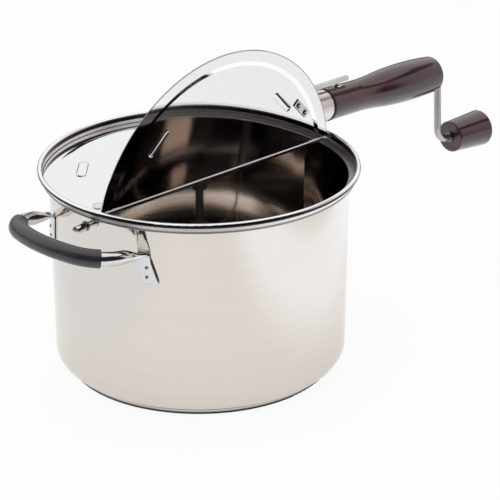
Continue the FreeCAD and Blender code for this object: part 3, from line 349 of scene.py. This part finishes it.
pot_steel = steel(
    "pot_steel",
    lift(POT_TONE, 0.985),
    lift(POT_TONE, 1.015),
    POT_SHINE,
    brush=(5.0, 5.0, 3200.0),
    spots=(5.0, 5.0, 700.0),
    relief=0.012,
    pull=0.3,
    turn=0.25,
    # The rim's painted reflections, painted shade line and painted highlight are laid on here.
    tint=rim_painted_light,
    haze=rim_haze,
)
dress(pot_steel, "pot_shell")

# ---------------------------------------------------------------- base
# A thick aluminium disc is bonded under the pot to spread the heat, and a thin steel cap is
# pressed over it. A narrow line of the duller aluminium shows between cap and pot, painted
# much darker than aluminium as painted shade in that narrow gap.
# Painted contact shadow: the lowest few millimetres of the cap turn almost black towards its
# foot.
FOOT_PAINTED_SHADOW = (0.035, 0.03, 0.03, 1.0)
FOOT_SHADOW_START = (0.0034, 0.0014)


def foot_painted_shadow(shade, colour):
    """The foot of the cap is darkened as a painted contact shadow where it meets the table."""
    return where(shade).out("Z").ramp(*FOOT_SHADOW_START).mix(colour, FOOT_PAINTED_SHADOW)


base_steel = steel(
    "base_steel",
    (0.66, 0.64, 0.615),
    (0.74, 0.72, 0.695),
    0.14,
    brush=(7.0, 7.0, 1500.0),
    spots=(30.0, 30.0, 60.0),
    tint=foot_painted_shadow,
)
# Partly real, partly painted shade: aluminium is duller than the steel, but this tone is
# darkened for the shade between cap and pot.
base_aluminium_and_shade = steel(
    "base_aluminium_and_shade",
    (0.10, 0.098, 0.095),
    (0.17, 0.165, 0.16),
    0.42,
    brush=(40.0, 40.0, 700.0),
    spots=(90.0, 90.0, 90.0),
)
dress(base_steel, "base_cap")
dress(base_aluminium_and_shade, "base_core")

# ---------------------------------------------------------------- loop handle
# The far handle is one polished steel tube bent to a flat loop. Each end is flattened to a
# strip, turned down against the pot and fixed to it with two small welded studs.
TUBE_RADIUS = 0.0053
SEAT = -0.102
LOOP_HEIGHT = 0.1342
TILT = math.radians(7.9)
TILTED = Vector((-math.sin(TILT), 0.0, -math.cos(TILT)))
HALF = 0.0513
CORNER = 0.0297
CORNER_OUT = 0.02144
CORNER_SIDE = HALF - CORNER
BOW = 0.110
BOW_OUT, BOW_SIDE = 0.05005, 0.02959
REACH = 0.0541
WALL_FOOT = 0.0167
WALL_RISE = 0.1379
WALL_RADIUS = 0.1136
WALL_FLARE = 0.0016
STRIP_HALF = 0.0052
STRIP_THICK = 0.0011
PLATE_TURN = math.radians(28.0)
PLATE_LOW = 0.1113
PLATE_SLANT = 0.0052
PLATE_BACK = -0.00285
PLATE_FLARE = 0.0019
PLATE_ROWS = (
    (0.0, 0.93),
    (0.03, 0.975),
    (0.10, 1.0),
    (0.25, 1.0),
    (0.5, 1.0),
    (0.75, 1.0),
    (1.0, 1.0),
)
BEND = 0.0030
BEND_STEPS = 7
BEND_TWIST = 0.35
STRIP_LIFT = 0.0006
STRIP_SETTLE = 0.0002
SWELL_STEPS = 18
SWELL_TWIST_PACE = 1.6
SWELL_ROUND_PACE = 1.5
SWELL_POWER = 0.85
FLAT_STRIP, SOFT_STRIP, ROUND_TUBE = 7.0, 5.0, 2.0
SECTION_STEPS = 36
ARC_STEPS = 24
UP = Vector((0.0, 0.0, 1.0))
SIDEWAYS = Vector((0.0, 1.0, 0.0))


def loop_point(out, side):
    """A point of the tube's axis: out from the pot, side across it, on the tilted plane."""
    return Vector((SEAT - out * math.cos(TILT), side, LOOP_HEIGHT + out * math.sin(TILT)))


def ring_of(centre, across, thick, half_wide, half_thick, power):
    """One section: round at power 2, more and more a flat strip above it."""
    points = []
    for step in range(SECTION_STEPS):
        angle = 2.0 * math.pi * step / SECTION_STEPS
        c, s = math.cos(angle), math.sin(angle)
        u = math.copysign(abs(c) ** (2.0 / power), c) * half_wide
        v = math.copysign(abs(s) ** (2.0 / power), s) * half_thick
        points.append(centre + across * u + thick * v)
    return points


def sweep(name, rings):
    form = bmesh.new()
    rows = [[form.verts.new(point) for point in ring] for ring in rings]
    count = len(rows[0])
    for first, second in zip(rows, rows[1:]):
        for step in range(count):
            after = (step + 1) % count
            form.faces.new((first[step], first[after], second[after], second[step]))
    form.faces.new(list(reversed(rows[0])))
    form.faces.new(rows[-1])
    return solid_from(name, form)


def outward(turn):
    return Vector((-math.cos(turn), -math.sin(turn), 0.0))


def level_across(facing):
    return Vector((facing.y, -facing.x, 0.0))


def strip_seat(height):
    """Distance from the pot's axis to the middle of a strip that lies on the wall."""
    return WALL_RADIUS + WALL_FLARE * (height - WALL_FOOT) / WALL_RISE + STRIP_THICK


def loop_end():
    """Rings of the near end, from the foot of its plate up to the full round tube."""
    normal = outward(PLATE_TURN)
    level = level_across(normal)
    top_seat = strip_seat(LOOP_HEIGHT)
    foot = outward(PLATE_TURN + PLATE_BACK / top_seat) * top_seat
    top = LOOP_HEIGHT + STRIP_LIFT
    rings = []
    for share, ease in PLATE_ROWS:
        height = PLATE_LOW + share * (top - BEND - PLATE_LOW)
        slant = PLATE_BACK + PLATE_SLANT * (1.0 - share)
        facing = outward(PLATE_TURN + slant / strip_seat(height))
        centre = facing * strip_seat(height) + UP * height
        wide = (STRIP_HALF + PLATE_FLARE * (1.0 - share)) * ease
        thick = STRIP_THICK * ease
        rings.append(ring_of(centre, level_across(facing), facing, wide, thick, FLAT_STRIP))
    for step in range(1, BEND_STEPS + 1):
        share = step / BEND_STEPS
        turn = math.radians(90.0) * share
        back = foot.x - BEND * (1.0 - math.cos(turn))
        centre = Vector((back, foot.y, top - BEND + BEND * math.sin(turn)))
        thick = (normal * math.cos(turn) - UP * math.sin(turn)).normalized()
        across = level.lerp(SIDEWAYS, BEND_TWIST * share).normalized()
        power = FLAT_STRIP + (SOFT_STRIP - FLAT_STRIP) * share
        rings.append(ring_of(centre, across, thick, STRIP_HALF, STRIP_THICK, power))
    start_out = SEAT - (foot.x - BEND)
    for step in range(1, SWELL_STEPS + 1):
        share = step / SWELL_STEPS
        ease = share * share * (3.0 - 2.0 * share)
        axis = loop_point((1.0 - share) * start_out + share * CORNER_OUT, -HALF)
        side = foot.y + (-HALF - foot.y) * ease
        centre = Vector((axis.x, side, axis.z + (1.0 - ease) * STRIP_SETTLE))
        twist = BEND_TWIST + (1.0 - BEND_TWIST) * min(1.0, share * SWELL_TWIST_PACE)
        across = level.lerp(SIDEWAYS, twist).normalized()
        wide = STRIP_HALF + (TUBE_RADIUS - STRIP_HALF) * ease
        deep = STRIP_THICK + (TUBE_RADIUS - STRIP_THICK) * ease ** SWELL_POWER
        power = SOFT_STRIP + (ROUND_TUBE - SOFT_STRIP) * min(1.0, share * SWELL_ROUND_PACE)
        rings.append(ring_of(centre, across, TILTED, wide, deep, power))
    return rings


def loop_bend(centre_out, centre_side, radius, first, last):
    rings = []
    hub = loop_point(centre_out, centre_side)
    for step in range(1, ARC_STEPS + 1):
        turn = math.radians(first + (last - first) * step / ARC_STEPS)
        out = centre_out + radius * math.sin(turn)
        middle = loop_point(out, centre_side - radius * math.cos(turn))
        across = (hub - middle).normalized()
        rings.append(ring_of(middle, across, TILTED, TUBE_RADIUS, TUBE_RADIUS, ROUND_TUBE))
    return rings


def mirrored_rings(rings):
    turned = []
    half = SECTION_STEPS // 2
    for ring in reversed(rings):
        flipped = [Vector((point.x, -point.y, point.z)) for point in ring]
        turned.append([flipped[(half - step) % SECTION_STEPS] for step in range(SECTION_STEPS)])
    return turned


corner_turn = math.degrees(math.atan2(BOW_OUT - CORNER_OUT, BOW_SIDE - CORNER_SIDE))
near_bend = loop_bend(CORNER_OUT, -CORNER_SIDE, CORNER, 0.0, corner_turn)
front_bow = loop_bend(REACH - BOW, 0.0, BOW, corner_turn, 180.0 - corner_turn)
near_half = loop_end() + near_bend
loop_tube = sweep("loop_tube", near_half + front_bow[:-1] + mirrored_rings(near_half))
bar_steel = steel(
    "bar_steel",
    (0.70, 0.69, 0.69),
    (0.80, 0.79, 0.78),
    0.10,
    brush=(60.0, 900.0, 900.0),
    spots=(40.0, 40.0, 40.0),
    relief=0.03,
)
loop_tube.data.materials.append(bar_steel)
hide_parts("loop_handle")
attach(loop_tube, "pot")
stud_steel = steel(
    "stud_steel",
    (0.10, 0.10, 0.10),
    (0.22, 0.21, 0.20),
    0.32,
    brush=(400.0, 400.0, 400.0),
    spots=(300.0, 300.0, 300.0),
)
dress(stud_steel, "loop_stud_near_1", "loop_stud_near_2", "loop_stud_far_1", "loop_stud_far_2")

# ---------------------------------------------------------------- loop grip
# A moulded sleeve of charcoal rubber is pushed over the tube where the hand takes it. Its
# skin is smooth with a fine even pebble from the mould.


def srgb(red, green, blue):
    def line(value):
        value /= 255.0
        return value / 12.92 if value <= 0.04045 else ((value + 0.055) / 1.055) ** 2.4

    return (line(red), line(green), line(blue), 1.0)


rubber, shade = finish_tree("rubber")
pebble = grain(shade, (1.0, 1.0, 1.0), 1500.0, 2.0, 0.6)
wear = grain(shade, (1.0, 1.0, 1.0), 60.0, 4.0, 0.6)
mottle = (pebble * 0.6 + wear * 0.4).ramp(0.35, 0.66)
values = {
    "Base Color": mottle.mix(srgb(34, 32, 35), srgb(52, 50, 53)),
    "Roughness": wear.ramp(0.3, 0.7, 0.27, 0.34),
    "Normal": bumped(shade, pebble, 0.3),
    "Specular IOR Level": 0.75,
}
surface(shade, values)
dress(rubber, "loop_grip")

# ---------------------------------------------------------------- lid lock
# A bent steel pin slides through a bush in the pot wall into a folded catch under the lid.
# A wire ring keeps it from falling out.
satin_steel = steel(
    "satin_steel",
    (0.45, 0.435, 0.42),
    (0.54, 0.525, 0.51),
    0.30,
    brush=(90.0, 1200.0, 1200.0),
    spots=(60.0, 60.0, 60.0),
    relief=0.06,
)
dark_wire = steel(
    "dark_wire",
    (0.20, 0.195, 0.19),
    (0.32, 0.31, 0.30),
    0.24,
    brush=(500.0, 500.0, 500.0),
    spots=(200.0, 200.0, 200.0),
)
dress(bar_steel, "lock_pin", "lock_grip", "lock_bush")
dress(dark_wire, "lock_ring")
dress(satin_steel, "lock_catch")

# ---------------------------------------------------------------- lid and flap
# The lid is cut from one disc of polished sheet. Its larger back part lies on the pot's ledge
# and its smaller front part is the flap. Each has two hooded steam vents pressed up from it.
LID_TONE = (0.835, 0.85, 0.868)
# Painted reflection: the flap is the same sheet as the lid, painted paler and warmer.
FLAP_PAINTED_REFLECTION_TONE = (0.885, 0.882, 0.878)
# Painted shade: a fine dark line just inside the flap's edge.
EDGE_PAINTED_SHADE = (0.30, 0.29, 0.28, 1.0)
LID_RADIUS = 0.1193
EDGE_INNER = 0.0009
EDGE_OUTER = 0.0004
HINGE_PLACE = (0.0, -0.0185, 0.15855)
FLAP_OPEN = math.radians(84.0)
VENT_CIRCLE = 0.0897
VENT_HALF = 0.0126
VENT_WIDE = 0.0029
VENT_DEPTH = 0.0011
VENT_POWER = 0.5
HOOD_HALF = 0.0144
HOOD_WIDE = 0.0041
HOOD_RISE = 0.0020
HOOD_POWER = 0.38
HOOD_SINK = 0.0001
VENT_TIP = 0.00004
VENT_LONG_STEPS, VENT_WIDE_STEPS = 32, 16
LID_UNDER = 0.1559
LID_SHEET = 0.0007


def flap_painted_outline(shade, colour):
    """A fine dark line round the flap is painted shade along the cut edge of the sheet."""
    values = {
        "Vector": shade.node("ShaderNodeTexCoord", out="Object"),
        "Center": HINGE_PLACE,
        "Angle": FLAP_OPEN,
    }
    closed = shade.node("ShaderNodeVectorRotate", {"rotation_type": "X_AXIS"}, values)
    flat = shade.node("ShaderNodeSeparateXYZ", {}, {0: closed})
    reach = flat * flat + flat.out("Y") * flat.out("Y")
    line = reach.ramp((LID_RADIUS - EDGE_INNER) ** 2, (LID_RADIUS - EDGE_OUTER) ** 2)
    return line.mix(colour, EDGE_PAINTED_SHADE)


lid_steel = steel(
    "lid_steel",
    lift(LID_TONE, 0.985),
    lift(LID_TONE, 1.015),
    0.055,
    brush=(700.0, 700.0, 700.0),
    spots=(9.0, 9.0, 9.0),
    relief=0.004,
)
flap_steel = steel(
    "flap_steel",
    lift(FLAP_PAINTED_REFLECTION_TONE, 0.985),
    lift(FLAP_PAINTED_REFLECTION_TONE, 1.015),
    0.045,
    brush=(700.0, 700.0, 700.0),
    spots=(9.0, 9.0, 9.0),
    relief=0.004,
    tint=flap_painted_outline,
)
dress(lid_steel, "lid_plate")
dress(flap_steel, "flap_plate")


def louvre(name, place):
    """A pressed vent, long in x: a rounded hood above the sheet, a rounded hollow below it."""
    form = bmesh.new()

    def skin(half_long, half_wide, height, base, power):
        rows = []
        for i in range(VENT_LONG_STEPS + 1):
            row = []
            x = -math.cos(math.pi * i / VENT_LONG_STEPS) * half_long
            over = max(0.0, abs(x) - (half_long - half_wide)) / half_wide
            half = half_wide * math.sqrt(max(0.0, 1.0 - over * over)) + VENT_TIP
            for j in range(VENT_WIDE_STEPS + 1):
                v = -math.cos(math.pi * j / VENT_WIDE_STEPS)
                crown = max(0.0, 1.0 - v * v) ** power * min(1.0, half / half_wide)
                row.append(form.verts.new(place @ Vector((x, v * half, base + height * crown))))
            rows.append(row)
        return rows

    hollow = skin(VENT_HALF, VENT_WIDE, VENT_DEPTH, 0.0, VENT_POWER)
    hood = skin(HOOD_HALF, HOOD_WIDE, HOOD_RISE, LID_SHEET - HOOD_SINK, HOOD_POWER)
    for rows in (hollow, hood):
        for i in range(VENT_LONG_STEPS):
            for j in range(VENT_WIDE_STEPS):
                form.faces.new((rows[i][j], rows[i + 1][j], rows[i + 1][j + 1], rows[i][j + 1]))
    for i in range(VENT_LONG_STEPS):
        for j in (0, VENT_WIDE_STEPS):
            form.faces.new((hollow[i][j], hollow[i + 1][j], hood[i + 1][j], hood[i][j]))
    for j in range(VENT_WIDE_STEPS):
        for i in (0, VENT_LONG_STEPS):
            form.faces.new((hollow[i][j], hollow[i][j + 1], hood[i][j + 1], hood[i][j]))
    return solid_from(name, form)


hinge_line = Matrix.Translation(HINGE_PLACE)
swing = hinge_line @ Matrix.Rotation(-FLAP_OPEN, 4, "X") @ hinge_line.inverted()
for vent_name, vent_angle, vent_body in (
    ("vent_lid_left", 135.0, "lid"),
    ("vent_lid_right", 45.0, "lid"),
    ("vent_flap_left", 225.0, "flap"),
    ("vent_flap_right", 315.0, "flap"),
):
    turn = math.radians(vent_angle)
    middle = Vector((math.cos(turn) * VENT_CIRCLE, math.sin(turn) * VENT_CIRCLE, LID_UNDER))
    place = Matrix.Translation(middle) @ Matrix.Rotation(turn + math.pi / 2.0, 4, "Z")
    vent = louvre(vent_name, swing @ place if vent_body == "flap" else place)
    vent.data.materials.append(flap_steel if vent_body == "flap" else lid_steel)
    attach(vent, vent_body)

# ---------------------------------------------------------------- hinge
# A long steel rod joins the flap to the lid. The flap's rolled leaf runs almost the whole
# chord, between two short knuckles that are welded to the lid.
dress(bar_steel, "hinge_rod", "flap_hinge", "lid_knuckle_left", "lid_knuckle_right")

# ---------------------------------------------------------------- lid button
# A turned steel button is riveted through the lid's edge and holds the catch below it.
dress(bar_steel, "lid_button")

# ---------------------------------------------------------------- bridge
# A bent strip of thick sheet is riveted on the lid. It carries the crank's bronze bushes at
# its two uprights and the handle at the outer one.
bronze = steel(
    "bronze",
    (0.46, 0.31, 0.17),
    (0.60, 0.42, 0.24),
    0.32,
    brush=(300.0, 300.0, 300.0),
    spots=(120.0, 120.0, 120.0),
)
dress(satin_steel, "bridge", "bridge_rivet_1", "bridge_rivet_2")
dress(bronze, "bush_gear", "bush_bridge", "bush_end", "stirrer_bush")

# ---------------------------------------------------------------- ferrule and handle core
# A drawn steel cup closes the pot end of the handle. The tube inside it carries the crank
# rod through the wood.
ferrule_steel = steel(
    "ferrule_steel",
    (0.72, 0.665, 0.62),
    (0.78, 0.72, 0.675),
    0.22,
    brush=(2400.0, 60.0, 60.0),
    spots=(30.0, 30.0, 30.0),
    relief=0.02,
)
dress(ferrule_steel, "ferrule")
dress(satin_steel, "handle_core")
dress(bar_steel, "handle_screw")

# ---------------------------------------------------------------- wooden handle and knob
# Handle and crank knob are turned from dark hardwood, stained a purplish brown and given
# a hard gloss lacquer. The grain runs along both pieces.
# Painted shade: where the wood meets the ferrule it turns almost black and loses most of its
# lacquer sheen, for the shadow gap and dark reflection there.
JOINT_SHADE_START = (0.1364, 0.1382)
JOINT_PAINTED_SHADE = (0.004, 0.003, 0.003, 1.0)
JOINT_SHADE_COAT = 0.15
WOOD_STOPS = (
    (0.0, srgb(32, 7, 11)),
    (0.45, srgb(50, 12, 18)),
    (0.75, srgb(64, 17, 23)),
    (1.0, srgb(78, 24, 28)),
)
wood, shade = finish_tree("lacquered_wood")
wave = grain(shade, (5.0, 90.0, 90.0), 1.0, 5.0, 0.6)
fibre = grain(shade, (30.0, 900.0, 900.0), 1.0, 3.0, 0.6)
blend = (wave * 0.7 + fibre * 0.3).ramp(0.32, 0.68)
dark_wood = shade.node("ShaderNodeValToRGB", {"stops": WOOD_STOPS}, {0: blend})
joint_shade = where(shade).ramp(*JOINT_SHADE_START)
values = {
    "Base Color": joint_shade.mix(JOINT_PAINTED_SHADE, dark_wood),
    "Roughness": fibre.ramp(0.3, 0.7, 0.34, 0.46),
    "Normal": bumped(shade, fibre, 0.04),
    "Coat Weight": wave.ramp(0.2, 0.8, 0.9, 1.0) * joint_shade.ramp(0.0, 1.0, JOINT_SHADE_COAT, 1.0),
    "Coat Roughness": 0.07,
    "Coat IOR": 1.62,
    "Specular IOR Level": 0.25,
}
surface(shade, values)
dress(wood, "wood_handle", "crank_knob")

# ---------------------------------------------------------------- thumb lever
# The lever is a bent steel strip riveted to the flap through a backing plate. Its arm runs
# out over the handle, where the thumb presses it to open the flap.
lever_steel = steel(
    "lever_steel",
    (0.52, 0.50, 0.485),
    (0.62, 0.60, 0.585),
    0.13,
    brush=(40.0, 1200.0, 1200.0),
    spots=(60.0, 60.0, 60.0),
    relief=0.03,
)
dress(lever_steel, "thumb_lever", "lever_backing", "lever_rivet_1", "lever_rivet_2")
for edge_name, edge_wide in (("thumb_lever", 0.0005), ("lever_backing", 0.0003)):
    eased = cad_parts[edge_name].modifiers.new("eased_edges", "BEVEL")
    eased.width = edge_wide
    eased.segments = 3
    eased.limit_method = "ANGLE"
    eased.angle_limit = math.radians(40.0)

# ---------------------------------------------------------------- crank
# A bent steel rod runs through the handle. A clip, a spacer and a collar keep it in place,
# and a washer and a cap hold the knob on its outer leg.
dress(satin_steel, "crank_rod", "crank_clip", "gear_spacer", "crank_collar", "knob_cap")
dress(dark_wire, "knob_washer")

# ---------------------------------------------------------------- gears and stirrer
# Two small bevel gears turn the upright shaft. Its hub carries two bent wires that sweep
# the floor of the pot.
dress(satin_steel, "drive_gear", "stirrer_gear", "stirrer_shaft", "stirrer_washer")
dress(satin_steel, "stirrer_clip", "stirrer_collar", "stirrer_hub")
dress(satin_steel, "stir_wire_a", "stir_wire_b")
